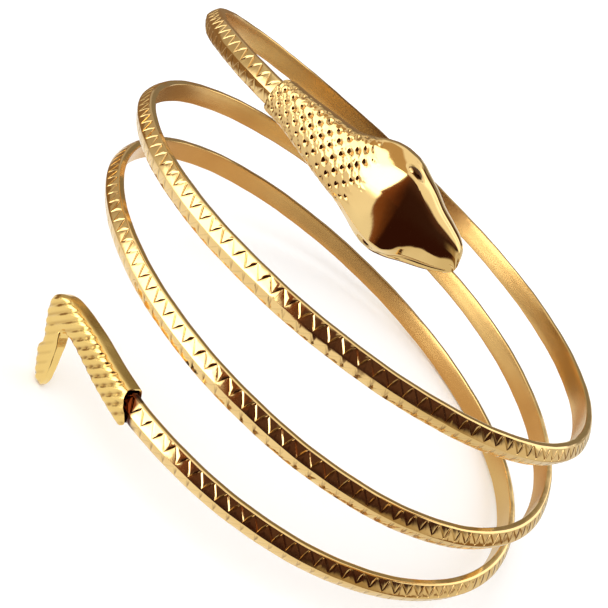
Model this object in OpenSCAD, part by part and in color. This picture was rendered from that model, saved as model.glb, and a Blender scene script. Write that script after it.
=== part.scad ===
// Spiral upper-arm armlet in the form of a snake.
// A sprung metal band is wound about three times round the arm. A cast head with a
// scaled neck sleeve closes its upper end, and a cast cap with a folded zigzag tail
// closes its lower end. Millimetres, +Z up, standing on its lower turn and tail tip.

/* [Coil] */
// Mean inner diameter of the turns
inner_d = 75; // [72:0.5:78]
// Rise of the band in each turn
pitch = 12; // [11.5:0.1:13]
// Angle of the band's upper end, inside the neck sleeve (degrees)
band_from = -64.5; // [-65:0.5:-63]
// Angle of the band's lower end, inside the tail cap (degrees)
band_to = 1012.5; // [1011:0.5:1012.5]
// Angle between two cross sections of the band (degrees)
band_step = 4.5; // [3:0.5:6]

/* [Band section] */
// Width of the band
band_w = 3.2; // [2.8:0.1:3.3]
// Thickness of the band at its two edges
edge_t = 0.9; // [0.6:0.05:1]
// Thickness of the band at its middle ridge
ridge_t = 1.85; // [1.5:0.05:1.9]
// Half width of the flat along the ridge
ridge_half = 0.2; // [0.1:0.05:0.5]

/* [Head] */
// Angle from which the head is measured, just before the sleeve's open end (degrees)
neck_from = -57; // [-58:0.5:-56.5]
// How far the pocket in the neck sleeve reaches from that angle
neck_pocket = 5.4; // [5.2:0.1:6]
// Gap between the band and each casting
gap = 0.08; // [0.05:0.01:0.1]

/* [Tail] */
// Angle at which the straight tail leaves the turn (degrees)
tail_at = 1012; // [1011.5:0.5:1012.5]
// Depth of the pocket in the tail cap past that angle
tail_pocket = 0.9; // [0.8:0.1:1.1]

/* [Rest] */
// Lean forwards and backwards as it rests (degrees)
rest_x = -10.97; // [-15:0.01:15]
// Lean sideways as it rests (degrees)
rest_y = 1.69; // [-15:0.01:15]
// Shift that centres the armlet on its origin, sideways
shift_x = 0.87; // [-10:0.01:10]
// Shift that centres the armlet on its origin, front to back
shift_y = 0.29; // [-10:0.01:10]
// Shift that stands the armlet on the ground
shift_z = 16.72; // [0:0.01:60]

/* [Hidden] */
gold = [0.86, 0.68, 0.30];

// How the hand-wound turns depart from an even coil, a row for each sixth of a turn.
// angle: degrees from the left side, out: spread of the radius, up: lift of the band.
//         angle  out   up
WINDING = [
          [-180, -0.8,  0.9],
          [-120, -0.1,  3.3],
          [ -60,  0.6,  5.6],
          [   0,  1.2,  2.5],
          [  60, -0.2, -2.2],
          [ 120, -2.2, -3.0],
          [ 180, -4.0, -3.5],
          [ 240, -1.3, -1.0],
          [ 300,  1.5,  0.6],
          [ 360,  2.1,  1.7],
          [ 420,  1.4,  1.2],
          [ 480,  0.4,  0.2],
          [ 540, -0.7, -4.0],
          [ 600, -0.3, -3.5],
          [ 660,  0.0,  1.2],
          [ 720,  0.2,  5.1],
          [ 780,  0.4,  3.8],
          [ 840,  0.4,  1.7],
          [ 900,  0.4, -0.2],
          [ 960, -0.4, -2.2],
          [1020, -1.2,  1.0],
          [1080, -1.2,  4.4],
          [1140, -1.2,  7.8]];

// The head and neck, a row for each section along the band's path.
// s: distance from the angle neck_from, up and dn: half widths above and below the
// path, top: height of the crown, lip: height of the widest line, back: depth behind.
//        s     up    dn   top   lip  back
HEAD = [[ 1.3,  2.42, 1.95, 2.35, 0.80, 0.50],
        [ 4.0,  2.55, 2.00, 2.50, 0.80, 0.50],
        [ 8.0,  2.90, 2.55, 2.80, 0.85, 0.55],
        [11.7,  3.25, 3.25, 3.00, 0.90, 0.60],
        [13.4,  3.90, 3.55, 3.15, 0.90, 0.60],
        [15.0,  4.90, 3.95, 3.40, 0.90, 0.60],
        [17.0,  5.35, 4.60, 3.75, 0.90, 0.60],
        [19.0,  5.20, 5.25, 3.90, 0.90, 0.60],
        [20.8,  4.55, 5.40, 3.85, 0.90, 0.60],
        [22.5,  3.75, 5.05, 3.65, 0.90, 0.60],
        [24.3,  2.65, 4.20, 3.35, 0.85, 0.55],
        [26.3,  1.75, 3.40, 2.90, 0.80, 0.50],
        [27.9,  0.95, 2.65, 2.35, 0.75, 0.40],
        [28.7,  0.20, 2.05, 1.80, 0.70, 0.20],
        [29.0, -0.50, 1.50, 1.20, 0.65, 0.20]];

// The folded tail, a row for each section from the cap's open end to the tip, in the
// plane that touches the turn. at, aw: outer edge of the fold along and above the band,
// bt, bw: inner edge, front and back: thickness on each side of that plane.
//        at    aw     bt    bw    front back
TAIL = [[-0.6,  2.10, -3.5, -2.05, 1.50, 1.50],
        [ 1.5,  2.15, -0.7, -1.92, 1.55, 1.50],
        [ 4.2,  2.35,  2.2, -1.68, 1.55, 1.50],
        [ 7.2,  2.60,  5.5, -1.25, 1.50, 1.45],
        [10.4,  2.65,  8.6, -0.85, 1.45, 1.40],
        [12.9,  2.50, 10.1, -0.95, 1.40, 1.30],
        [14.7,  1.80, 10.7, -1.20, 1.35, 1.20],
        [15.5,  0.65, 10.9, -1.55, 1.30, 1.10],
        [15.2, -0.60, 11.0, -2.00, 1.25, 1.05],
        [13.9, -2.70, 10.7, -3.05, 1.15, 0.95],
        [13.0, -4.70, 10.1, -4.95, 1.00, 0.85],
        [12.7, -5.80,  9.7, -6.10, 0.95, 0.80],
        [11.4, -7.60,  9.2, -7.40, 0.85, 0.75],
        [10.4, -8.75,  8.8, -8.35, 0.75, 0.70]];

// ---- the path of the band ----
row_step = 60;
function bs_row(a) = max(1, min(len(WINDING) - 3, floor((a - WINDING[0][0]) / row_step)));
function bs_frac(a) = (a - WINDING[0][0]) / row_step - bs_row(a);
// smooth curve through the rows of one column
function smooth(a, col) = let (i = bs_row(a), f = bs_frac(a))
    (pow(1 - f, 3) * WINDING[i - 1][col]
     + (3 * pow(f, 3) - 6 * f * f + 4) * WINDING[i][col]
     + (-3 * pow(f, 3) + 3 * f * f + 3 * f + 1) * WINDING[i + 1][col]
     + pow(f, 3) * WINDING[i + 2][col]) / 6;
function radius(a) = inner_d / 2 + smooth(a, 1);
function height(a) = pitch * (540 - a) / 360 + smooth(a, 2);
// a point at angle a, r outside the inner face and z above the band's middle
function at(a, r, z) = [-(radius(a) + r) * cos(a), (radius(a) + r) * sin(a), height(a) + z];
// degrees of turn for each millimetre along the path
function deg_mm(a) = 1 / norm(at(a + 0.5, 1, 0) - at(a - 0.5, 1, 0));

// ---- closed skins from rings of points ----
function flat_list(l) = [for (r = l) each r];
function mean(r) = [for (k = [0:2]) let (v = [for (p = r) p[k]]) (v * [for (p = r) 1]) / len(r)];
// rings all have the same count of points; both ends are closed by a fan
module skin(rings) {
    n = len(rings[0]);
    m = len(rings);
    pts = concat(flat_list(rings), [mean(rings[0]), mean(rings[m - 1])]);
    sides = [for (i = [0:m - 2], j = [0:n - 1]) let (a = i * n + j, b = i * n + (j + 1) % n)
             each [[a, b, b + n], [a, b + n, a + n]]];
    ends = [for (j = [0:n - 1]) each [[m * n, (j + 1) % n, j],
            [m * n + 1, (m - 1) * n + j, (m - 1) * n + (j + 1) % n]]];
    polyhedron(points = pts, faces = concat(sides, ends), convexity = 10);
}

// outline of a casting: a flat back with rounded corners and a domed front
dome_n = 24;
function dome(up, dn, top, lip, back) = [for (k = [0:dome_n - 1])
    let (t = 360 * (k + 0.5) / dome_n, c = cos(t), s = sin(t),
         q = s > 0 ? 0.75 : 0.28,
         x = sign(c) * pow(abs(c), s > 0 ? 0.8 : 0.28),
         y = sign(s) * pow(abs(s), q))
    [s > 0 ? lip + (top - lip) * y : lip + (lip + back) * y, (up - dn) / 2 + (up + dn) / 2 * x]];

// ---- band ----
function band_outline(g) = let (w = band_w / 2)
    [[-g, w + g], [edge_t + g * 0.6, w + g], [ridge_t + g, ridge_half], [ridge_t + g, -ridge_half],
     [edge_t + g * 0.6, -w - g], [-g, -w - g]];
module coil_band() {
    steps = ceil((band_to - band_from) / band_step);
    color(gold)
    placed() skin([for (i = [0:steps]) let (a = band_from + (band_to - band_from) * i / steps)
                   [for (p = band_outline(0)) at(a, p[0], p[1])]]);
}

// ---- head: outer skin from snout to sleeve, then the pocket back in ----
function head_angle(s) = neck_from - s * deg_mm(neck_from - s);
// a pocket outline with as many points as the outer skin, on the band's outline
function pocket(k, g) = let (o = band_outline(g), h = dome_n / 2,
    t = k < h ? 0.5 + 4 * (k + 0.5) / h : 4.5 + 2 * (k - h) / h, i = floor(t) % 6, f = t - floor(t))
    o[i] * (1 - f) + o[(i + 1) % 6] * f;
module head() {
    n = len(HEAD);
    outer = [for (i = [n - 1:-1:0]) let (h = HEAD[i], a = head_angle(h[0]))
             [for (p = dome(h[1], h[2], h[3], h[4], h[5])) at(a, p[0], p[1])]];
    inner = [for (i = [0:3]) let (a = head_angle(HEAD[0][0] + (neck_pocket - HEAD[0][0]) * i / 3))
             [for (k = [0:dome_n - 1]) let (p = pocket(k, gap)) at(a, p[0], p[1])]];
    color(gold)
    placed() skin(concat(outer, inner));
}

// ---- tail ----
function unit(v) = v / norm(v);
tail_o = at(tail_at, 0.8, 0);
tail_t = unit(at(tail_at + 0.5, 0.8, 0) - at(tail_at - 0.5, 0.8, 0));
tail_n = unit(cross(cross(tail_t, [-cos(tail_at), sin(tail_at), 0]), tail_t));
tail_w = cross(tail_n, tail_t);
function tail_at_point(t, w, n) = tail_o + tail_t * t + tail_w * w * sign(tail_w[2]) + tail_n * n;
// a section between edge points a and b, with its front and back thickness
function tail_ring(a, b, front, back) = [for (k = [dome_n - 1:-1:0])
    let (t = 360 * (k + 0.5) / dome_n, c = cos(t), s = sin(t),
         x = sign(c) * pow(abs(c), s > 0 ? 0.42 : 0.3),
         y = sign(s) * pow(abs(s), s > 0 ? 0.55 : 0.3),
         p = (a + b) / 2 + (a - b) / 2 * x)
    tail_at_point(p[0], p[1], y > 0 ? front * y : back * y)];
module tail() {
    n = len(TAIL);
    outer = [for (i = [n - 1:-1:0]) let (h = TAIL[i])
             tail_ring([h[0], h[1]], [h[2], h[3]], h[4], h[5])];
    // the mouth is cut slanted, so the pocket's first rings lean with it
    inner = [for (q = [[-1.10, -3.08], [0, -1.3], [tail_pocket, tail_pocket]])
             [for (k = [dome_n - 1:-1:0]) let (p = pocket(k, gap),
                   t = (q[0] + q[1]) / 2 + (q[0] - q[1]) * p[1] / band_w)
              at(tail_at + t * deg_mm(tail_at), p[0], p[1])]];
    color(gold)
    placed() skin(concat(outer, inner));
}

// the pose in which the armlet rests
module placed() {
    translate([shift_x, shift_y, shift_z]) rotate([rest_x, rest_y, 0]) children();
}

coil_band();
head();
tail();
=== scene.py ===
import math

import bpy
import numpy as np
from mathutils import Matrix, Vector


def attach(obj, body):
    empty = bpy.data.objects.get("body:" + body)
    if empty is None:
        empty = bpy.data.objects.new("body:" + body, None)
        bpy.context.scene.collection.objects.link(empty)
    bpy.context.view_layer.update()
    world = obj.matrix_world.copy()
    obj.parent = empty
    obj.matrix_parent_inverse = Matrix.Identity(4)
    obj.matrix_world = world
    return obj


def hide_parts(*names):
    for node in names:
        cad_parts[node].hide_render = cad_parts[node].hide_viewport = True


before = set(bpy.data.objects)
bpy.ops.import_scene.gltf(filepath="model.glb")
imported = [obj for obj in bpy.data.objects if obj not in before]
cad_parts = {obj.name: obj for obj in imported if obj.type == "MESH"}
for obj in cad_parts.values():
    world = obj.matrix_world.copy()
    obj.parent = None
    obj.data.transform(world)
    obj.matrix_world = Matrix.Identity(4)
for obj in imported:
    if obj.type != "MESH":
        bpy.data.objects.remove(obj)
scene = bpy.context.scene
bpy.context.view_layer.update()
rng = np.random.default_rng(7)

# ------------------------------------------------------------------ camera
cam_data = bpy.data.cameras.new("camera")
camera = bpy.data.objects.new("camera", cam_data)
scene.collection.objects.link(camera)
scene.camera = camera
cam_data.lens = 69.82
cam_data.sensor_width = 36.0
cam_data.clip_start, cam_data.clip_end = 0.01, 50.0
RIGHT = (0.769223, 0.380943, 0.513009)
UP = (-0.633788, 0.352720, 0.688405)
BACK = (0.081294, -0.854676, 0.512757)
EYE = (0.008719, -0.145461, 0.100175)
camera.matrix_world = Matrix([[RIGHT[i], UP[i], BACK[i], EYE[i]] for i in range(3)] + [[0, 0, 0, 1]])

# ------------------------------------------------------------------ the band's path (mm)
INNER_D, PITCH = 75.0, 12.0
BAND_FROM, BAND_TO = -64.5, 1012.5
NECK_FROM, TAIL_AT = -57.0, 1012.0
REST_X, REST_Y = math.radians(-10.97), math.radians(1.69)
SHIFT = np.array([0.87, 0.29, 16.72])
WINDING = np.array([
    [-180, -0.8, 0.9], [-120, -0.1, 3.3], [-60, 0.6, 5.6], [0, 1.2, 2.5], [60, -0.2, -2.2],
    [120, -2.2, -3.0], [180, -4.0, -3.5], [240, -1.3, -1.0], [300, 1.5, 0.6], [360, 2.1, 1.7],
    [420, 1.4, 1.2], [480, 0.4, 0.2], [540, -0.7, -4.0], [600, -0.3, -3.5], [660, 0.0, 1.2],
    [720, 0.2, 5.1], [780, 0.4, 3.8], [840, 0.4, 1.7], [900, 0.4, -0.2], [960, -0.4, -2.2],
    [1020, -1.2, 1.0], [1080, -1.2, 4.4], [1140, -1.2, 7.8]])


def smooth(a, col):
    a = np.asarray(a, float)
    i = np.clip(np.floor((a - WINDING[0, 0]) / 60).astype(int), 1, len(WINDING) - 3)
    f = (a - WINDING[0, 0]) / 60 - i
    w = WINDING[:, col]
    return ((1 - f) ** 3 * w[i - 1] + (3 * f ** 3 - 6 * f * f + 4) * w[i]
            + (-3 * f ** 3 + 3 * f * f + 3 * f + 1) * w[i + 1] + f ** 3 * w[i + 2]) / 6


def at(a, r, z):
    """Point at angle a (degrees), r outside the inner face and z above the band's middle."""
    a, r, z = np.broadcast_arrays(np.asarray(a, float), np.asarray(r, float), np.asarray(z, float))
    rad = INNER_D / 2 + smooth(a, 1) + r
    return np.stack([-rad * np.cos(np.radians(a)), rad * np.sin(np.radians(a)),
                     PITCH * (540 - a) / 360 + smooth(a, 2) + z], -1)


def deg_mm(a):
    return 1 / np.linalg.norm(at(a + 0.5, 1, 0) - at(a - 0.5, 1, 0), axis=-1)


cx, sx, cy, sy = math.cos(REST_X), math.sin(REST_X), math.cos(REST_Y), math.sin(REST_Y)
ROT = np.array([[cy, 0, sy], [0, 1, 0], [-sy, 0, cy]]) @ np.array([[1, 0, 0], [0, cx, -sx], [0, sx, cx]])


def placed(p):
    """Coil frame in mm to the row frame in metres."""
    return (np.asarray(p) @ ROT.T + SHIFT) * 0.001


def curve(xs, ys):
    """Smooth curve through points that doesn't overshoot between them."""
    xs, ys = np.asarray(xs, float), np.asarray(ys, float)
    h, d = np.diff(xs), np.diff(ys) / np.diff(xs)
    m = np.zeros(len(xs))
    for k in range(1, len(xs) - 1):
        if d[k - 1] * d[k] > 0:
            w1, w2 = 2 * h[k] + h[k - 1], h[k] + 2 * h[k - 1]
            m[k] = (w1 + w2) / (w1 / d[k - 1] + w2 / d[k])
    m[0], m[-1] = d[0], d[-1]

    def f(x):
        x = np.clip(np.asarray(x, float), xs[0], xs[-1])
        i = np.clip(np.searchsorted(xs, x, side="right") - 1, 0, len(xs) - 2)
        t = (x - xs[i]) / h[i]
        return ((2 * t ** 3 - 3 * t ** 2 + 1) * ys[i] + (t ** 3 - 2 * t ** 2 + t) * h[i] * m[i]
                + (-2 * t ** 3 + 3 * t ** 2) * ys[i + 1] + (t ** 3 - t ** 2) * h[i] * m[i + 1])
    return f


def step(lo, hi, x):
    t = np.clip((np.asarray(x, float) - lo) / (hi - lo), 0, 1)
    return t * t * (3 - 2 * t)


def skin(name, rings, attrs=None, sharp=30.0, faces_mat=None):
    """A closed mesh from rings of points (rings, points, xyz) in the coil frame; both ends closed by a fan."""
    m, n = rings.shape[:2]
    pts = np.vstack([rings.reshape(-1, 3), rings[0].mean(0), rings[-1].mean(0)])
    i, j = np.meshgrid(np.arange(m - 1), np.arange(n), indexing="ij")
    a, b = i * n + j, i * n + (j + 1) % n
    quads = np.stack([a, b, b + n, a + n], -1).reshape(-1, 4)
    jj = np.arange(n)
    cap0 = np.stack([np.full(n, m * n), (jj + 1) % n, jj], -1)
    cap1 = np.stack([np.full(n, m * n + 1), (m - 1) * n + jj, (m - 1) * n + (jj + 1) % n], -1)
    c = pts.mean(0)
    v = 0.0
    for q in (quads[:, :3], quads[:, [0, 2, 3]], cap0, cap1):
        p = pts[q] - c
        v += np.einsum("ij,ij->i", p[:, 0], np.cross(p[:, 1], p[:, 2])).sum()
    faces = [list(map(int, q)) for q in quads] + [list(map(int, q)) for q in np.vstack([cap0, cap1])]
    if v < 0:
        faces = [f[::-1] for f in faces]
    me = bpy.data.meshes.new(name)
    me.from_pydata([tuple(p) for p in placed(pts)], [], faces)
    me.update()
    for key, val in (attrs or {}).items():
        at_ = me.attributes.new(key, "FLOAT", "POINT")
        flat = np.concatenate([np.asarray(val, float).reshape(-1), [np.mean(val[0]), np.mean(val[-1])]])
        at_.data.foreach_set("value", flat.astype(np.float32))
    me.shade_smooth()
    me.set_sharp_from_angle(angle=math.radians(sharp))
    ob = bpy.data.objects.new(name, me)
    scene.collection.objects.link(ob)
    return ob


# ------------------------------------------------------------------ band with its stamped zigzag
PERIOD = 2.026
PHASE_AT = 224.40      # mm from the upper end to a zigzag corner next to the ridge
PEAK = 0.67                                    # the corner next to the rim: one leg is steep, the other slanted
LEG = (0.0, 0.14, 0.54, PEAK, 0.745, 0.925)    # places of the cross sections in one period
fine_a = np.linspace(BAND_FROM, BAND_TO, 9001)
fine_p = at(fine_a, 1.0, 0.0)
fine_l = np.concatenate([[0], np.cumsum(np.linalg.norm(np.diff(fine_p, axis=0), axis=1))])
total = fine_l[-1]
count = int(total / PERIOD) + 3
first = -math.ceil(PHASE_AT / PERIOD) - 1
cells = np.repeat(np.arange(first, first + count + 2), len(LEG))
phase = np.tile(LEG, count + 2)
lens = PHASE_AT + (cells + phase) * PERIOD
inside = (lens > 0.03) & (lens < total - 0.03)
lens = np.concatenate([[0], lens[inside], [total]])
phase = np.concatenate([[0], phase[inside], [0]])
cell = np.concatenate([[first], cells[inside], [first + count + 1]])
ang = np.interp(lens, fine_l, fine_a)
tri = np.where(phase < PEAK, phase / PEAK, (1 - phase) / (1 - PEAK))      # 0: corner next to the ridge, 1: next to the rim

W2, EDGE, RIDGE = 1.60, 0.90, 1.85               # half width, thickness at the rim and at the ridge
Z0, Z1, ZTOP = 0.16, 1.42, 1.49                  # the zigzag's reach across a facet, and its limit
jit = rng.normal(0, 1, (int(cell.max() - cell.min()) + 3, 8))
cj = jit[(cell - cell.min())]
first_leg, corner = phase < PEAK, np.isin(phase, (0.0, PEAK))


def face(v):
    return RIDGE - 0.30 * v - 0.172 * v * v


def half(side):
    """Rows from the ridge to the inner face for one side: lists of (v, h) arrays along the band."""
    j = 0 if side > 0 else 4
    zig = Z0 + (Z1 - Z0) * tri + 0.014 * cj[:, j]
    if side > 0:
        depth = np.where(corner, 0.045, np.where(first_leg, 0.112, 0.125))
        wide = np.where(corner, 0.24, np.where(first_leg, 0.33, 0.52))
    else:
        depth = np.where(corner, 0.015, np.where(first_leg, 0.022, 0.048))
        wide = np.where(corner, 0.26, 0.36)
    depth = depth * (1 + 0.13 * cj[:, j + 1])
    swell = (0.024 if side > 0 else 0.030) + (0.005 if side > 0 else 0.008) * cj[:, j + 2]
    narrow = np.where(corner, 0.05, np.where(first_leg, 0.03, 0.05))
    pil = 0.5 + 0.5 * np.cos(np.pi * tri)        # 1 at the ridge corners
    zero, one = np.zeros_like(zig), np.ones_like(zig)
    v0 = np.clip(zig, 0.13, ZTOP - 0.06)
    lo = np.clip(v0 - narrow, 0.09, None)
    hi = np.clip(v0 + wide, None, ZTOP)
    mid_lo, mid_hi = 0.06 + (lo - 0.06) * 0.5, hi + (1.505 - hi) * 0.5
    rows = [(zero, RIDGE + zero), (0.06 + zero, face(0.06) + zero),
            (mid_lo, face(mid_lo) + swell * (1 - pil)), (lo, face(lo)), (v0 - 0.02, face(v0 - 0.02) - depth),
            (v0 + 0.02, face(v0 + 0.02) - depth), (hi - 0.03, face(hi - 0.03) - depth * 0.10), (hi + 0.006, face(hi + 0.006)),
            (mid_hi, face(mid_hi) + swell * pil)]
    rows += [(v * one, h * one) for v, h in (
        (1.505, face(1.505)), (1.518, 0.978), (1.556, 0.895), (1.588, 0.81), (1.597, 0.765), (W2, 0.70), (W2, 0.42),
        (W2, 0.20), (1.57, 0.09), (1.47, 0.02), (1.30, 0.0), (0.55, 0.0))]
    return rows


up_rows, lo_rows = half(1), half(-1)
rows = up_rows + [(-v, h) for v, h in reversed(lo_rows)][:-1]
V = np.stack([v for v, h in rows], 1)
H = np.stack([h for v, h in rows], 1)
# slight waviness of hand-bent metal
wav = 0.018 * np.sin(ang * 0.31 + 1.0) + 0.012 * np.sin(ang * 0.83)
band_pts = at(ang[:, None], H, V + wav[:, None])
# painted shade: the band's colour is darkened along the zigzag grooves on both sides, most on the second legs
groove = np.zeros_like(V)
second_leg = ~corner & ~first_leg
for row, amt in ((3, 0.8), (4, 1.0), (5, 1.0), (6, 0.35)):
    groove[:, row] = np.where(second_leg, amt, 0.0)
n_row = V.shape[1]
groove[:, n_row - 5:n_row - 3] = np.where(second_leg, 0.45, 0.15)[:, None]
dot = np.isclose(phase, LEG[4]) * (0.85 + 0.25 * np.sin(ang * 0.11) + 0.2 * cj[:, 6])
groove[:, n_row - 3] = np.clip(dot, 0, 1)             # a worn dark spot inside each lower triangle
groove[:, n_row - 2] = np.clip(dot * 0.7, 0, 1)
inner = np.repeat(np.where(H.mean(0) < 0.03, 1.0, 0.0)[None, :], V.shape[0], 0)

# ------------------------------------------------------------------ head and neck
S_FROM, S_END = 1.3, 29.15
up_f = curve([0, 4, 8, 11.7, 13.4, 15.0, 16.3, 17.4, 18.6, 19.7, 20.8, 22.5, 24.3, 26.3, 27.9, 28.7, 29.15],
             [2.38, 2.55, 2.9, 3.25, 3.9, 4.8, 5.25, 5.4, 5.35, 5.1, 4.65, 3.95, 3.0, 2.2, 1.4, 0.55, -0.7])
dn_f = curve([0, 4, 8, 11.7, 13.4, 15, 17, 19, 20.8, 22.5, 24.3, 26.3, 27.9, 28.7, 29.15],
             [1.93, 2.0, 2.55, 3.25, 3.55, 3.95, 4.6, 5.3, 5.5, 5.1, 4.3, 3.5, 2.7, 2.2, 1.75])
top_f = curve([0, 4, 8, 11.7, 13.4, 15, 17, 19, 20.8, 22.5, 24.3, 26.3, 27.9, 28.7, 29.15],
              [2.25, 2.5, 2.8, 3.0, 3.15, 3.42, 3.76, 3.92, 3.88, 3.68, 3.38, 2.92, 2.36, 1.9, 1.35])
lip_f = curve([0, 11, 13, 27, 29.15], [0.8, 0.9, 0.9, 0.85, 0.70])
back_f = curve([0, 8, 12, 24, 27, 28.7, 29.15], [0.5, 0.55, 0.6, 0.6, 0.45, 0.2, 0.1])
# the two creases that bound the flat crown
cr_f = curve([12.5, 14.5, 16.0, 18.0, 19.6, 20.6, 21.8, 23.2, 25.3, 26.9, 28.1, 29.15],
             [2.3, 2.6, 3.0, 3.55, 3.85, 3.7, 3.05, 2.35, 1.6, 1.05, 0.45, -1.0])
cl_f = curve([12.5, 15.0, 18.0, 20.5, 21.8, 22.6, 23.4, 24.4, 25.6, 27.0, 28.2, 29.15],
             [-2.5, -3.0, -3.9, -4.35, -4.25, -3.7, -2.7, -1.8, -1.25, -1.1, -1.0, -1.45])
hcr_f = curve([12.5, 16, 19.5, 21.8, 24.3, 26.9, 28.1, 29.15], [2.6, 3.05, 3.45, 3.40, 3.05, 2.55, 2.1, 1.2])
hcl_f = curve([12.5, 16, 20.5, 21.8, 23.4, 25.6, 27.0, 28.2, 29.15], [2.3, 2.6, 2.75, 2.75, 2.9, 2.75, 2.45, 1.95, 1.2])

N_BEV, N_TOP = 22, 64                             # points on each bevel and on the crown
N_SIDE, N_BACK = 6, 14
s_neck = np.arange(S_FROM, 17.0, 0.085)
s_head = np.arange(17.0, S_END, 0.125)
S = np.concatenate([s_neck, s_head, [S_END]])


def front_dome(s, n):
    """Evenly spaced points over the domed front, from the lower lip line to the upper one."""
    up, dn, top, lip = up_f(s), dn_f(s), top_f(s), lip_f(s)
    t = np.linspace(math.pi, 0, 400)
    x = np.sign(np.cos(t)) * np.abs(np.cos(t)) ** 0.8
    y = np.sin(t) ** 0.75
    v, h = (up - dn) / 2 + (up + dn) / 2 * x, lip + (top - lip) * y
    d = np.concatenate([[0], np.cumsum(np.hypot(np.diff(v), np.diff(h)))])
    q = np.linspace(0, d[-1], n)
    return np.interp(q, d, v), np.interp(q, d, h), q - np.interp(0.0, v, d)


def bevel(v0, h0, v1, h1, bulge, n):
    """Points from the lip line (0) to the crease (1), pushed out a little in the middle."""
    t = np.linspace(0, 1, n, endpoint=False)
    dv, dh = v1 - v0, h1 - h0
    ln = math.hypot(dv, dh) + 1e-9
    b = bulge * 4 * t * (1 - t)
    sgn = 1.0 if v0 < v1 else -1.0
    return v0 + dv * t - sgn * abs(dh) / ln * b, h0 + dh * t + abs(dv) / ln * b


def front_head(s):
    up, dn, top, lip = float(up_f(s)), float(dn_f(s)), float(top_f(s)), float(lip_f(s))
    cr, cl, hr, hl = float(cr_f(s)), float(cl_f(s)), float(hcr_f(s)), float(hcl_f(s))
    g = float(step(17.5, 20.5, s) * (1 - 0.6 * step(28.2, 29.1, s)))      # the lip line fades in behind the eye
    # lower side: edge, lip line, bevel
    lo = [(-dn, lip), (-dn + 0.03, lip + 0.22), (-dn + 0.06 + 0.13 * g, lip + 0.34),
          (-dn + 0.14 + 0.05 * g, lip + 0.46)]
    hi = [(up, lip), (up - 0.03, lip + 0.22), (up - 0.06 - 0.13 * g, lip + 0.34),
          (up - 0.14 - 0.05 * g, lip + 0.46)]
    nb = N_BEV - len(lo)
    bl = bevel(-dn + 0.17 + 0.06 * g, lip + 0.56, cl, hl, 0.02, nb)
    br = bevel(up - 0.17 - 0.06 * g, lip + 0.56, cr, hr, 0.12, nb)
    t = np.linspace(0, 1, N_TOP)
    vt = cl + (cr - cl) * t
    # crown: three-point parabola through the creases and the top line
    vm = 0.5 * (cl + cr)
    hm = max(top, 0.5 * (hl + hr) + 0.02)
    u = 2 * t - 1
    ht = hm + (hr - hl) / 2 * u + ((hr + hl) / 2 - hm) * np.abs(u) ** 2.0
    v = np.concatenate([[p[0] for p in lo], bl[0], vt, br[0][::-1], [p[0] for p in hi][::-1]])
    h = np.concatenate([[p[1] for p in lo], bl[1], ht, br[1][::-1], [p[1] for p in hi][::-1]])
    return v, h


NF = N_BEV * 2 + N_TOP
FV, FH, FQ, FN = (np.zeros((len(S), NF)) for _ in range(4))
for i, s in enumerate(S):
    w = float(step(12.6, 16.8, s))
    vd, hd, q = front_dome(s, NF)
    if w > 0:
        vh, hh = front_head(s)
    else:
        vh, hh = vd, hd
    FV[i], FH[i], FQ[i] = vd + (vh - vd) * w, hd + (hh - hd) * w, q
# scales: a net of fine grooves with a deep pit at each crossing
A_S, B_S, B_Q = 1.54, -0.52, -0.87
k = FQ / B_Q                                       # row number
m_ = (S[:, None] - 2.2 - k * B_S) / A_S            # place along the row
relief = np.zeros_like(FV)
kr, mr = np.round(k), None
d_pit = np.full_like(FV, 9.0)


def uneven(row, col, salt):
    """A fixed number from -0.5 to 0.5 for each pit, as the casting isn't perfectly even."""
    v = np.sin(row * 12.9898 + col * 78.233 + salt * 37.719) * 437.5453
    return v - np.floor(v) - 0.5


for dk in (-1, 0, 1):
    kk = np.round((FQ - 0.75) / B_Q) + dk
    mm = np.round((S[:, None] - 2.2 - kk * B_S) / A_S)
    ds = S[:, None] - (2.2 + mm * A_S + kk * B_S) - 0.20 * uneven(kk, mm, 1)
    dq = FQ - (0.75 + kk * B_Q) - 0.18 * uneven(kk, mm, 2)
    wide = 1 + 0.36 * uneven(kk, mm, 3)
    d_pit = np.minimum(d_pit, np.hypot((ds + 0.15 * dq) / (0.28 * wide), dq / (0.29 * wide)))


def net(du_s, du_q):
    """Distance to the nearest groove of one set of parallel grooves through the pits."""
    ln = math.hypot(du_s, du_q)
    nx, ny = -du_q / ln, du_s / ln
    sp = abs(A_S * nx)
    c = ((S[:, None] - 2.2) * nx + (FQ - 0.75) * ny) / sp
    return np.abs(c - np.round(c)) * sp


d_net = np.minimum(net(B_S, B_Q), net(B_S + A_S, B_Q))
edge_line = 16.0 + 0.55 * np.sin(FQ * 2.3) - 0.25 * np.abs(FQ - 0.3) + 0.60 * np.sin(FQ * 5.1 + 1)
amount = (1 - step(0, 0.7, S[:, None] - edge_line)) * step(-0.2, 0.25, S[:, None] - S_FROM)
qspan = (FQ - FQ.min(1, keepdims=True)) / (FQ.max(1, keepdims=True) - FQ.min(1, keepdims=True))
amount = amount * step(0.03, 0.10, qspan) * step(0.03, 0.10, 1 - qspan)
relief = 0.03 - 0.035 * np.exp(-(d_net / 0.17) ** 2) - 0.21 * np.exp(-d_pit ** 2 * 1.6) + 0.03 * np.exp(-((d_pit - 1.6) / 0.5) ** 2)
relief = relief * amount
# painted shade: darker in the pits and along the fine grooves between the scales; the whole scaled part is also a
# little darker
pits = np.maximum(np.exp(-d_pit ** 2 * 1.15), 0.25 + 0.16 * np.exp(-(d_net / 0.12) ** 2)) * amount
# outward direction of each front section
dv, dh = np.gradient(FV, axis=1), np.gradient(FH, axis=1)
ln = np.hypot(dv, dh) + 1e-9
nv, nh = -dh / ln, dv / ln
nh_sign = np.where(nh.mean() < 0, -1.0, 1.0)
nv, nh = nv * nh_sign, nh * nh_sign
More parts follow.
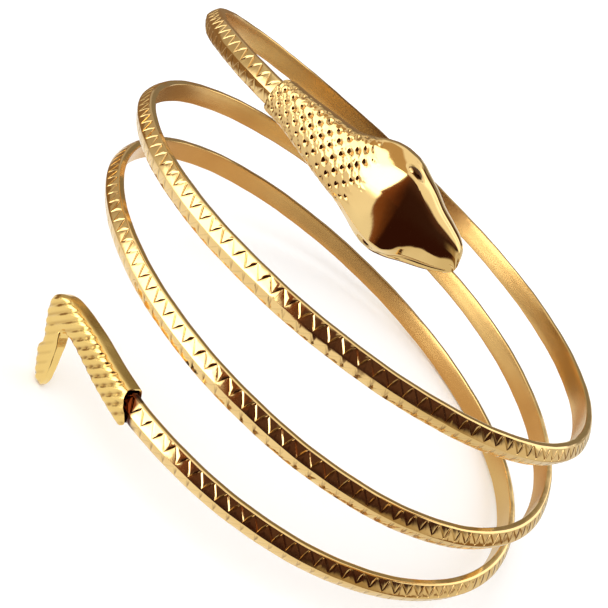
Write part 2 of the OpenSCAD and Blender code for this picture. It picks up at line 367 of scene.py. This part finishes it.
# eyes: a small oval bead in a shallow ring, one on each flank
def eye(sc, idx_frac, upper):
    j = int(NF - 1 - idx_frac * (N_BEV - 1)) if upper else int(idx_frac * (N_BEV - 1))
    i = int(np.argmin(np.abs(S - sc)))
    vc, hc = FV[i, j], FH[i, j]
    side = (np.arange(NF) > NF / 2) if upper else (np.arange(NF) < NF / 2)
    d = np.sqrt(((S[:, None] - sc) / 0.92) ** 2 + ((FV - vc) ** 2 + (FH - hc) ** 2) / 0.47 ** 2)
    b = 0.17 * np.sqrt(np.clip(1 - d ** 2, 0, 1)) - 0.08 * np.exp(-((d - 1.15) / 0.16) ** 2)
    return np.where(side[None, :], b, 0), np.where(side[None, :], np.exp(-(d / 1.08) ** 8), 0)


jj_ = np.arange(NF)[None, :]
lip_on = step(21.6, 23.2, S[:, None]) * (1 - step(27.9, 28.8, S[:, None]))
lip_line = np.exp(-((jj_ - 9.0) / 1.15) ** 2) + 0.7 * np.exp(-((NF - 1 - jj_ - 7.0) / 1.1) ** 2)
relief = relief - 0.055 * lip_line * lip_on
# painted shade along the lip line
pits = np.maximum(pits, 0.55 * np.clip(lip_line, 0, 1) * lip_on)
eye_u, eye_l = eye(19.9, 0.60, True), eye(19.9, 0.36, False)
relief = relief + eye_u[0] + eye_l[0]
# painted dark reflection on the eye beads, weaker on the lower eye
eyes = np.maximum(eye_u[1], 0.3 * eye_l[1])
FV2, FH2 = FV + nv * relief, FH + nh * relief
head_rows_v, head_rows_h = [], []
for i, s in enumerate(S):
    up, dn, lip, back = float(up_f(s)), float(dn_f(s)), float(lip_f(s)), float(back_f(s))
    r = min(0.5, 0.45 * (lip + back))
    t = np.linspace(0, math.pi / 2, N_SIDE)
    # upper side then flat back then lower side
    us_v, us_h = up - r + r * np.cos(t), -back + r - r * np.sin(t)
    ls_v, ls_h = -us_v * 0 - dn + r - r * np.cos(t), us_h
    bv = np.linspace(up - r, -dn + r, N_BACK + 2)[1:-1]
    bh = np.full(N_BACK, -back)
    head_rows_v.append(np.concatenate([FV2[i], us_v, bv, ls_v[::-1]]))
    head_rows_h.append(np.concatenate([FH2[i], us_h, bh, ls_h[::-1]]))
HV, HH = np.array(head_rows_v), np.array(head_rows_h)
SA = NECK_FROM - S * deg_mm(NECK_FROM - S)
outer = at(SA[:, None], HH, HV)
n_ring = outer.shape[1]


def band_ring(g, count, like_v, like_h):
    """The band's outline grown by g, with a point in the direction of each given point."""
    o = np.array([[-g, W2 + g], [EDGE + 0.6 * g, W2 + g], [RIDGE + g, 0.2], [RIDGE + g, -0.2],
                  [EDGE + 0.6 * g, -W2 - g], [-g, -W2 - g]])
    c = np.array([0.7, 0.0])
    out = np.zeros((count, 2))
    for j in range(count):
        d = np.array([like_h[j], like_v[j]]) - c
        d = d / np.linalg.norm(d)
        best = None
        for e in range(6):
            p, q = o[e] - c, o[(e + 1) % 6] - c
            den = d[0] * (q - p)[1] - d[1] * (q - p)[0]
            if abs(den) < 1e-9:
                continue
            tt = (p[0] * (q - p)[1] - p[1] * (q - p)[0]) / den
            uu = (p[0] * d[1] - p[1] * d[0]) / den
            if tt > 0 and -1e-6 <= uu <= 1 + 1e-6:
                best = tt if best is None else min(best, tt)
        out[j] = c + d * best
    return out


def pocket_rings(depths, grows, like_v, like_h, mixes):
    rings = []
    for d, g, mix in zip(depths, grows, mixes):
        b = band_ring(g, len(like_v), like_v, like_h)
        h = b[:, 0] * (1 - mix) + (0.7 + (like_h - 0.7) * 0.86) * mix
        v = b[:, 1] * (1 - mix) + like_v * 0.86 * mix
        a = NECK_FROM - d * deg_mm(NECK_FROM - d)
        rings.append(at(a, h, v))
    return np.array(rings)


neck_in = pocket_rings([S_FROM + 0.05, S_FROM + 0.4, 3.2, 5.4], [0.12, 0.06, 0.04, 0.04], HV[0], HH[0], [0.45, 0.12, 0, 0])
head_pts = np.concatenate([outer[::-1], neck_in])
pad = np.zeros((len(S), n_ring - NF))
# these carry the painted shade of the pits and lip line, and the painted dark reflection on the eyes, into the head's
# colour
pits_all = np.concatenate([pits, pad], 1)[::-1]
pits_all = np.concatenate([pits_all, np.zeros((len(neck_in), n_ring))])
eyes_all = np.concatenate([eyes, pad], 1)[::-1]
eyes_all = np.concatenate([eyes_all, np.zeros((len(neck_in), n_ring))])
head = skin("snake_head", head_pts, {"groove": pits_all, "eye": eyes_all}, sharp=38.0)

# ------------------------------------------------------------------ tail
t_o = at(TAIL_AT, 0.8, 0)
t_t = at(TAIL_AT + 0.5, 0.8, 0) - at(TAIL_AT - 0.5, 0.8, 0)
t_t = t_t / np.linalg.norm(t_t)
radial = np.array([-math.cos(math.radians(TAIL_AT)), math.sin(math.radians(TAIL_AT)), 0])
t_n = np.cross(np.cross(t_t, radial), t_t)
t_n = t_n / np.linalg.norm(t_n)
t_w = np.cross(t_n, t_t)
t_w = t_w * np.sign(t_w[2])
b_t, b_w = (band_pts - t_o) @ t_t, (band_pts - t_o) @ t_w
# painted shade on the band where it goes into the tail's mouth
painted_mouth_shade = step(-0.25, 0.25, b_t - (-4.24 + 0.46 * (b_w + 0.37))) * (ang[:, None] > 990)
band = skin("band", band_pts, {"groove": groove, "inner": inner, "painted_mouth_shade": painted_mouth_shade}, sharp=13.0)
TAIL = np.array([
    [-1.5, 2.08, -3.9, -2.08, 1.50, 1.50], [1.5, 2.15, -0.7, -1.92, 1.55, 1.50],
    [4.2, 2.35, 2.2, -1.68, 1.55, 1.50], [7.2, 2.60, 5.5, -1.25, 1.50, 1.45],
    [10.4, 2.65, 8.6, -0.85, 1.45, 1.40], [12.9, 2.50, 10.1, -0.95, 1.40, 1.30],
    [14.7, 1.80, 10.7, -1.20, 1.35, 1.20], [15.5, 0.65, 10.9, -1.55, 1.30, 1.10],
    [15.2, -0.60, 10.8, -2.00, 1.25, 0.80], [13.9, -2.70, 10.2, -3.05, 1.15, 0.55],
    [12.75, -4.45, 9.7, -4.50, 1.02, 0.45], [13.0, -5.35, 9.3, -5.55, 0.98, 0.42],
    [12.3, -6.4, 9.0, -6.60, 0.92, 0.40], [11.4, -7.6, 8.8, -7.5, 0.85, 0.40],
    [10.6, -8.5, 8.9, -8.3, 0.72, 0.40], [10.0, -8.85, 9.1, -8.75, 0.45, 0.35]])
R_ = np.arange(len(TAIL), dtype=float)
cols = [curve(R_, TAIL[:, c]) for c in range(6)]
rr = np.concatenate([np.linspace(0, 5, 151)[:-1], np.linspace(5, 9, 81)[:-1], np.linspace(9, len(TAIL) - 1, 81)])
ta, wa, tb, wb, fr, bk = [c(rr) for c in cols]
NT = 108
th = 2 * np.pi * np.arange(1441) / 1440
c_, s_ = np.cos(th), np.sin(th)


def outline(inner_x, inner_y):
    """Evenly spaced points round one section; the powers are those of its front corner on the inner side."""
    corner_ = (c_ < 0) & (s_ > 0)
    x0 = np.sign(c_) * np.abs(c_) ** np.where(corner_, inner_x, np.where(s_ > 0, 0.34, 0.3))
    y0 = np.sign(s_) * np.abs(s_) ** np.where(corner_, inner_y, np.where(s_ > 0, 0.46, 0.3))
    dl = np.concatenate([[0], np.cumsum(np.hypot(np.diff(x0) * 1.9, np.diff(y0) * 1.45))])
    uu_ = dl[-1] * (np.arange(NT) + 0.5) / NT
    return np.interp(uu_, dl, x0), np.interp(uu_, dl, y0)


xe, ye = outline(0.34, 0.46)
xc, yc = outline(0.05, 0.05)                      # a crisp inner edge on the second fold
crisp = step(5.6, 8.6, rr)[:, None]
XE, YE = xe[None, :] + (xc - xe)[None, :] * crisp, ye[None, :] + (yc - ye)[None, :] * crisp
T = (ta + tb)[:, None] / 2 + (ta - tb)[:, None] / 2 * XE
Wc = (wa + wb)[:, None] / 2 + (wa - wb)[:, None] / 2 * XE
lip_x = curve([-2.1, -1.85, -1.4, -0.8, -0.3, 0.3, 1.2, 2.1], [0.75, 0.2, -0.65, -1.25, -1.15, -0.5, -0.15, -0.1])
T = T + lip_x(Wc[0])[None, :] * step(2.2, 0.0, rr)[:, None]
Nn = np.where(YE > 0, fr[:, None] * YE, bk[:, None] * YE)
Nn = Nn + 0.20 * (1 - XE ** 2) * step(0.5, 0.95, YE) * (1 - 0.6 * step(6, 9, rr)[:, None])
side_l = 0.90 - 0.30 * step(6.0, 8.5, rr)[:, None]
soft_l = 0.08 + 0.16 * step(6.0, 8.5, rr)[:, None]
front = step(0.50, 0.92, YE) * np.where(XE > 0, step(1.0, 0.90, XE), step(side_l + soft_l, side_l - soft_l, -XE))
# slanted ribs across the front, with a few pits between them
g1 = (T * 0.78 + Wc * 0.63 + 0.35) / 1.17
g2 = (T * 0.80 - Wc * 0.60 + 0.2) / 1.22
l1 = np.abs(g1 - np.round(g1)) * 1.17
l2 = np.abs(g2 - np.round(g2)) * 1.22
main = step(-2.4, -1.2, Wc)
lower = step(1.6, -0.2, Wc)
amp = main * (0.70 + 0.30 * lower) + (1 - main) * (0.45 + 0.4 * step(0.35, 0.8, xe)[None, :])
a_front = front * step(-0.3, 0.5, rr)[:, None]
rib = 0.5 + 0.5 * np.cos(2 * np.pi * g1)          # 1 in the grooves
rib = rib ** 1.6
pit = np.exp(-(l1 / 0.17) ** 2 - (l2 / 0.30) ** 2) * main * (1 - step(7.5, 9.5, T))
rel = (0.08 * step(8.5, 5.5, rr)[:, None] - 0.25 * rib * amp - 0.08 * pit) * a_front
Nn = Nn + rel
# painted shade in the rib grooves and the pits
tail_g = np.clip((0.50 * rib ** 2 * amp + 0.8 * pit) * a_front, 0, 1)
outer_t = t_o + t_t * T[..., None] + t_w * Wc[..., None] + t_n * Nn[..., None]
# the hollow mouth, flared, closing round the band inside
like_v, like_h = Wc[0], Nn[0] + 0.8


def mouth_ring(mix, scale, depth, g):
    b = band_ring(g, NT, like_v, like_h)
    w = b[:, 1] * (1 - mix) + like_v * scale * mix
    n = (b[:, 0] - 0.8) * (1 - mix) + (like_h - 0.8) * scale * mix
    t = -1.5 - (2.08 - w) * 0.577 + depth + lip_x(w) * min(1.0, mix + 0.3)
    sag = -(t ** 2) / (2 * 38.0)
    return t_o + t_t * t[:, None] + t_w * w[:, None] + t_n * (n + np.where(t < 0, sag, 0) * (1 - mix))[:, None]


mouth = np.array([mouth_ring(1, 0.97, 0.03, 0.1), mouth_ring(1, 0.90, 0.12, 0.1), mouth_ring(0.9, 0.84, 0.7, 0.1),
                  mouth_ring(0.55, 0.84, 1.5, 0.1), mouth_ring(0.0, 0.84, 2.3, 0.06), mouth_ring(0.0, 0.84, 3.3, 0.06)])
tail_pts = np.concatenate([outer_t[::-1], mouth])
# painted shade inside the hollow mouth, darkest deepest in
tail_g = np.concatenate([tail_g[::-1], np.repeat(np.array([0, 0, .3, .8, 1, 1.])[:, None], NT, 1)])
tail = skin("snake_tail", tail_pts, {"groove": tail_g}, sharp=62.0)

# ------------------------------------------------------------------ metals
GOLD = (0.86, 0.60, 0.255)


def metal(name, rough, rough_var, dark=0.55, bump=0.0, scale=900.0, inner_rough=None, tint=0.05, painted_eye_reflection=None, gold=GOLD, painted_shade_colour=(0.30, 0.17, 0.07)):
    mat = bpy.data.materials.new(name)
    mat.use_nodes = True
    nt = mat.node_tree
    n = nt.nodes
    bsdf = n["Principled BSDF"]
    bsdf.inputs["Metallic"].default_value = 1.0
    tc = n.new("ShaderNodeTexCoord")
    # colour: plating that is a little redder and darker in worn patches, with painted shade that makes it redder and
    # darker still in the grooves and pits
    wear = n.new("ShaderNodeTexNoise")
    wear.inputs["Scale"].default_value = 160.0
    wear.inputs["Detail"].default_value = 5.0
    nt.links.new(tc.outputs["Object"], wear.inputs["Vector"])
    ramp = n.new("ShaderNodeValToRGB")
    ramp.color_ramp.elements[0].position, ramp.color_ramp.elements[1].position = 0.30, 0.72
    ramp.color_ramp.elements[0].color = (gold[0] * (1 - tint), gold[1] * (1 - 1.6 * tint), gold[2] * (1 - 2.2 * tint), 1)
    ramp.color_ramp.elements[1].color = (min(1, gold[0] * (1 + tint * .6)), gold[1] * (1 + tint * .8), gold[2] * (1 + tint), 1)
    nt.links.new(wear.outputs["Fac"], ramp.inputs["Fac"])
    attr = n.new("ShaderNodeAttribute")
    attr.attribute_name = "groove"
    mix = n.new("ShaderNodeMix")
    mix.data_type = "RGBA"
    mix.blend_type = "MULTIPLY"
    fac = n.new("ShaderNodeMath")
    fac.operation = "MULTIPLY"
    fac.inputs[1].default_value = dark
    nt.links.new(attr.outputs["Fac"], fac.inputs[0])
    nt.links.new(fac.outputs[0], mix.inputs["Factor"])
    nt.links.new(ramp.outputs["Color"], mix.inputs["A"])
    mix.inputs["B"].default_value = (*painted_shade_colour, 1)
    nt.links.new(mix.outputs["Result"], bsdf.inputs["Base Color"])
    # roughness: fine smudges
    sm = n.new("ShaderNodeTexNoise")
    sm.inputs["Scale"].default_value = 420.0
    sm.inputs["Detail"].default_value = 4.0
    nt.links.new(tc.outputs["Object"], sm.inputs["Vector"])
    mr = n.new("ShaderNodeMapRange")
    mr.inputs["From Min"].default_value, mr.inputs["From Max"].default_value = 0.3, 0.7
    mr.inputs["To Min"].default_value, mr.inputs["To Max"].default_value = rough - rough_var, rough + rough_var
    nt.links.new(sm.outputs["Fac"], mr.inputs["Value"])
    out = mr.outputs["Result"]
    if painted_eye_reflection:
        # painted dark reflection: the eyes' colour is multiplied towards near-black brown
        ey = n.new("ShaderNodeAttribute")
        ey.attribute_name = "eye"
        m4 = n.new("ShaderNodeMix")
        m4.data_type = "RGBA"
        m4.blend_type = "MULTIPLY"
        nt.links.new(ey.outputs["Fac"], m4.inputs["Factor"])
        nt.links.new(mix.outputs["Result"], m4.inputs["A"])
        m4.inputs["B"].default_value = (*painted_eye_reflection, 1)
        nt.links.new(m4.outputs["Result"], bsdf.inputs["Base Color"])
    if inner_rough:
        # painted shade: the band's colour is darkened almost to black where it goes into the tail's mouth
        mouth_shade_node = n.new("ShaderNodeAttribute")
        mouth_shade_node.attribute_name = "painted_mouth_shade"
        m2 = n.new("ShaderNodeMix")
        m2.data_type = "RGBA"
        m2.blend_type = "MULTIPLY"
        nt.links.new(mouth_shade_node.outputs["Fac"], m2.inputs["Factor"])
        nt.links.new(mix.outputs["Result"], m2.inputs["A"])
        m2.inputs["B"].default_value = (0.085, 0.022, 0.010, 1)
        at2 = n.new("ShaderNodeAttribute")
        at2.attribute_name = "inner"
        m3 = n.new("ShaderNodeMix")
        m3.data_type = "RGBA"
        m3.blend_type = "MULTIPLY"
        nt.links.new(at2.outputs["Fac"], m3.inputs["Factor"])
        nt.links.new(m2.outputs["Result"], m3.inputs["A"])
        m3.inputs["B"].default_value = (0.84, 0.77, 0.66, 1)
        nt.links.new(m3.outputs["Result"], bsdf.inputs["Base Color"])
        mx = n.new("ShaderNodeMix")
        mx.data_type = "FLOAT"
        nt.links.new(at2.outputs["Fac"], mx.inputs["Factor"])
        nt.links.new(out, mx.inputs["A"])
        mx.inputs["B"].default_value = inner_rough
        out = mx.outputs["Result"]
    nt.links.new(out, bsdf.inputs["Roughness"])
    if bump:
        bn = n.new("ShaderNodeTexNoise")
        bn.inputs["Scale"].default_value = scale
        bn.inputs["Detail"].default_value = 3.0
        nt.links.new(tc.outputs["Object"], bn.inputs["Vector"])
        bp = n.new("ShaderNodeBump")
        bp.inputs["Strength"].default_value = bump
        bp.inputs["Distance"].default_value = 0.00005
        nt.links.new(bn.outputs["Fac"], bp.inputs["Height"])
        nt.links.new(bp.outputs["Normal"], bsdf.inputs["Normal"])
    return mat


band.data.materials.append(metal("gold_plated_band", 0.10, 0.025, dark=0.75, bump=0.15, scale=1400.0, inner_rough=0.24, painted_shade_colour=(0.17, 0.095, 0.05)))
head.data.materials.append(metal("gold_plated_head", 0.07, 0.025, dark=0.7, bump=0.12, scale=1100.0, painted_eye_reflection=(0.10, 0.055, 0.045), gold=(0.80, 0.56, 0.235)))
tail.data.materials.append(metal("gold_plated_tail", 0.17, 0.05, dark=0.8, bump=0.35, scale=1000.0, gold=(0.86, 0.60, 0.205)))

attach(band, "root")
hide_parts("coil_band")
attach(head, "root")
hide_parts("head")
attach(tail, "root")
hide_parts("tail")

# ------------------------------------------------------------------ floor
me = bpy.data.meshes.new("floor")
e = 6.0
me.from_pydata([(-e, -e, 0), (e, -e, 0), (e, e, 0), (-e, e, 0)], [], [(0, 1, 2, 3)])
floor = bpy.data.objects.new("floor", me)
scene.collection.objects.link(floor)
fm = bpy.data.materials.new("paper")
fm.use_nodes = True
fb = fm.node_tree.nodes["Principled BSDF"]
fb.inputs["Base Color"].default_value = (0.97, 0.97, 0.97, 1)
fb.inputs["Roughness"].default_value = 0.9
fb.inputs["Specular IOR Level"].default_value = 0.1
me.materials.append(fm)

# what the metal sees below the horizon: the lit paper, then the brown table round it, dark in front
me = bpy.data.meshes.new("table_seen_in_metal")
me.from_pydata([(-e, -e, 0.0003), (e, -e, 0.0003), (e, e, 0.0003), (-e, e, 0.0003)], [], [(0, 1, 2, 3)])
card = bpy.data.objects.new("table_seen_in_metal", me)
scene.collection.objects.link(card)
cm = bpy.data.materials.new("table_seen_in_metal")
cm.use_nodes = True
cm.node_tree.nodes.clear()
me.materials.append(cm)
card.visible_camera = False
card.visible_diffuse = False
card.visible_shadow = False
card.visible_transmission = False
card.visible_volume_scatter = False
cm.cycles.emission_sampling = "NONE"


class Tree:
    """Short names for the nodes of one tree."""

    def __init__(self, tree):
        self.t, self.n, self.link = tree, tree.nodes, tree.links.new

    def math(self, op, a, b=None):
        m = self.n.new("ShaderNodeMath")
        m.operation = op
        for k_, x in enumerate((a, b)):
            if x is None:
                continue
            if isinstance(x, (int, float)):
                m.inputs[k_].default_value = x
            else:
                self.link(x, m.inputs[k_])
        return m.outputs[0]

    def ramp(self, x, lo, hi):
        """0 below lo, 1 above hi, smooth between (lo may be above hi)."""
        m = self.n.new("ShaderNodeMapRange")
        m.interpolation_type = "SMOOTHSTEP"
        flip = lo > hi
        m.inputs["From Min"].default_value, m.inputs["From Max"].default_value = (hi, lo) if flip else (lo, hi)
        m.inputs["To Min"].default_value, m.inputs["To Max"].default_value = (1, 0) if flip else (0, 1)
        self.link(x, m.inputs["Value"])
        return m.outputs["Result"]

    def window(self, x, a, b, sa, sb):
        return self.math("MULTIPLY", self.ramp(x, a - sa, a + sa), self.ramp(x, b + sb, b - sb))

    def mix(self, f, a, b):
        """Colour a where f is 0, colour b where it is 1."""
        m = self.n.new("ShaderNodeMix")
        m.data_type = "RGBA"
        self.link(f, m.inputs["Factor"])
        for key, x in (("A", a), ("B", b)):
            if isinstance(x, tuple):
                m.inputs[key].default_value = (*x, 1)
            else:
                self.link(x, m.inputs[key])
        return m.outputs["Result"]

    def direction(self, x, y):
        """Azimuth in degrees, 0 in front (-Y), positive to the right (+X)."""
        return self.math("MULTIPLY", self.math("ARCTAN2", x, self.math("MULTIPLY", y, -1.0)), 180 / math.pi)


w = Tree(cm.node_tree)
tc = w.n.new("ShaderNodeTexCoord")
sep = w.n.new("ShaderNodeSeparateXYZ")
w.link(tc.outputs["Object"], sep.inputs[0])
X, Y = sep.outputs[0], sep.outputs[1]
right = w.ramp(X, 0.008, 0.045)
col = w.mix(right, (1.02, 1.02, 1.00), (0.79, 0.75, 0.64))
far = w.math("MULTIPLY", w.ramp(X, 0.075, 0.115), w.ramp(Y, 0.09, 0.03))
col = w.mix(far, col, (0.26, 0.15, 0.06))
bright = w.math("MULTIPLY", w.ramp(X, -0.018, -0.034), w.ramp(Y, -0.055, -0.075))
col = w.mix(bright, col, (1.12, 1.12, 1.10))
bright = w.math("MULTIPLY", w.ramp(X, -0.05, -0.09), w.ramp(Y, -0.17, -0.55))
col = w.mix(bright, col, (3.9, 3.9, 3.8))
# the brown edge of the table at the left and behind, with painted shade in it for the coil's own shadow
tan = w.math("MULTIPLY", w.window(X, -0.030, 0.028, 0.008, 0.006), w.window(Y, 0.017, 0.036, 0.005, 0.004))
col = w.mix(tan, col, (0.74, 0.56, 0.40))
# painted shade: the dark brown patch at the back left stands in for the coil's own shadow as the metal sees it; a patch
# at the left side gets the same colour
back_left = w.math("MULTIPLY", w.ramp(X, 0.004, -0.010), w.ramp(Y, 0.031, 0.040))
side_left = w.math("MULTIPLY", w.ramp(X, -0.058, -0.075), w.ramp(Y, -0.055, -0.035))
back_left = w.math("MAXIMUM", back_left, side_left)
col = w.mix(back_left, col, (0.28, 0.17, 0.08))
# the shaded middle of the coil
mid_d = w.math("SQRT", w.math("ADD", w.math("POWER", w.math("SUBTRACT", X, 0.003), 2.0), w.math("POWER", w.math("SUBTRACT", Y, 0.004), 2.0)))
col = w.mix(w.ramp(mid_d, 0.0155, 0.006), col, (0.16, 0.085, 0.025))
# the dark area in front, reddish at its left edge
az_t = w.direction(w.math("SUBTRACT", X, 0.0), w.math("ADD", Y, 0.045))
near = w.ramp(Y, -0.057, -0.067)
col = w.mix(w.math("MULTIPLY", w.window(az_t, -19, 66, 2.5, 7), near), col, (0.24, 0.085, 0.03))
col = w.mix(w.math("MULTIPLY", w.window(az_t, -8, 68, 8, 7), near), col, (0.034, 0.009, 0.006))
em = w.n.new("ShaderNodeEmission")
w.link(col, em.inputs["Color"])
mo = w.n.new("ShaderNodeOutputMaterial")
w.link(em.outputs[0], mo.inputs["Surface"])

# ------------------------------------------------------------------ studio surroundings
world = bpy.data.worlds.new("studio")
scene.world = world
world.use_nodes = True
world.node_tree.nodes.clear()
w = Tree(world.node_tree)
tc = w.n.new("ShaderNodeTexCoord")
sep = w.n.new("ShaderNodeSeparateXYZ")
w.link(tc.outputs["Generated"], sep.inputs[0])
X, Y, Z = sep.outputs
az = w.direction(X, Y)
el = w.math("MULTIPLY", w.math("ARCSINE", Z), 180 / math.pi)
over = w.math("MULTIPLY", w.math("ARCTAN2", Z, Y), 180 / math.pi)      # 0 behind, 90 overhead, 180 in front
room = (0.68, 0.64, 0.56)
aaz = w.math("ABSOLUTE", az)
# low left and behind: a dim room, with a lit wall behind at the right
col = w.mix(w.math("MULTIPLY", w.ramp(az, -92, -108), w.ramp(el, 32, 22)), room, (0.50, 0.44, 0.34))
col = w.mix(w.math("MULTIPLY", w.ramp(aaz, 150, 164), w.ramp(el, 34, 20)), col, (0.26, 0.22, 0.15))
col = w.mix(w.math("MULTIPLY", w.window(az, 119, 166, 4, 3), w.window(el, 8, 60, 3, 5)), col, (1.7, 1.68, 1.62))
# softbox above and behind
col = w.mix(w.math("MULTIPLY", w.window(over, 40, 84, 5, 4), w.ramp(el, 30, 38)), col, (1.12, 1.10, 1.05))
# big softbox at the left, hottest low in its right half
col = w.mix(w.math("MULTIPLY", w.window(az, -90, -19, 8, 3), w.window(el, 10, 62, 6, 6)), col, (3.2, 3.2, 3.15))
col = w.mix(w.math("MULTIPLY", w.window(az, -135, -80, 10, 4), w.window(el, 46, 74, 4, 4)), col, (0.62, 0.44, 0.25))
col = w.mix(w.math("MULTIPLY", w.window(az, -50, -17, 7, 2), w.window(el, -6, 34, 3, 6)), col, (4.2, 4.2, 4.2))
# dark doorway in front, reddish at its left edge; a lit strip runs under it at the right
az_l = w.math("SUBTRACT", az, w.math("MULTIPLY", w.math("MINIMUM", el, 27.0), 0.30))
az_l = w.math("ADD", az_l, w.math("MULTIPLY", w.math("MAXIMUM", w.math("SUBTRACT", el, 38.0), 0.0), 0.8))
dark = w.math("MULTIPLY", w.ramp(az_l, -24, -19.5), w.ramp(az, 124, 112))
dark = w.math("MULTIPLY", dark, w.ramp(el, 74, 64))
lit = w.math("MULTIPLY", w.ramp(az, 44, 66), w.ramp(el, 23, 9))
dcol = w.mix(w.ramp(el, 20, 36), (0.034, 0.009, 0.006), (0.088, 0.036, 0.024))
dcol = w.mix(w.ramp(az, 2, -16), dcol, (0.24, 0.075, 0.025))
col = w.mix(dark, col, dcol)
strip = w.mix(w.ramp(az, 72, 98), (0.42, 0.33, 0.20), (0.78, 0.72, 0.62))
col = w.mix(w.math("MULTIPLY", dark, lit), col, strip)
bg = w.n.new("ShaderNodeBackground")
w.link(col, bg.inputs["Color"])
plain = w.n.new("ShaderNodeBackground")
plain.inputs["Color"].default_value = (1.27, 1.27, 1.27, 1)
lp = w.n.new("ShaderNodeLightPath")
ms = w.n.new("ShaderNodeMixShader")
w.link(lp.outputs["Is Glossy Ray"], ms.inputs[0])
w.link(plain.outputs[0], ms.inputs[1])
w.link(bg.outputs[0], ms.inputs[2])
wo = w.n.new("ShaderNodeOutputWorld")
w.link(ms.outputs[0], wo.inputs["Surface"])

scene.view_settings.view_transform = "Standard"
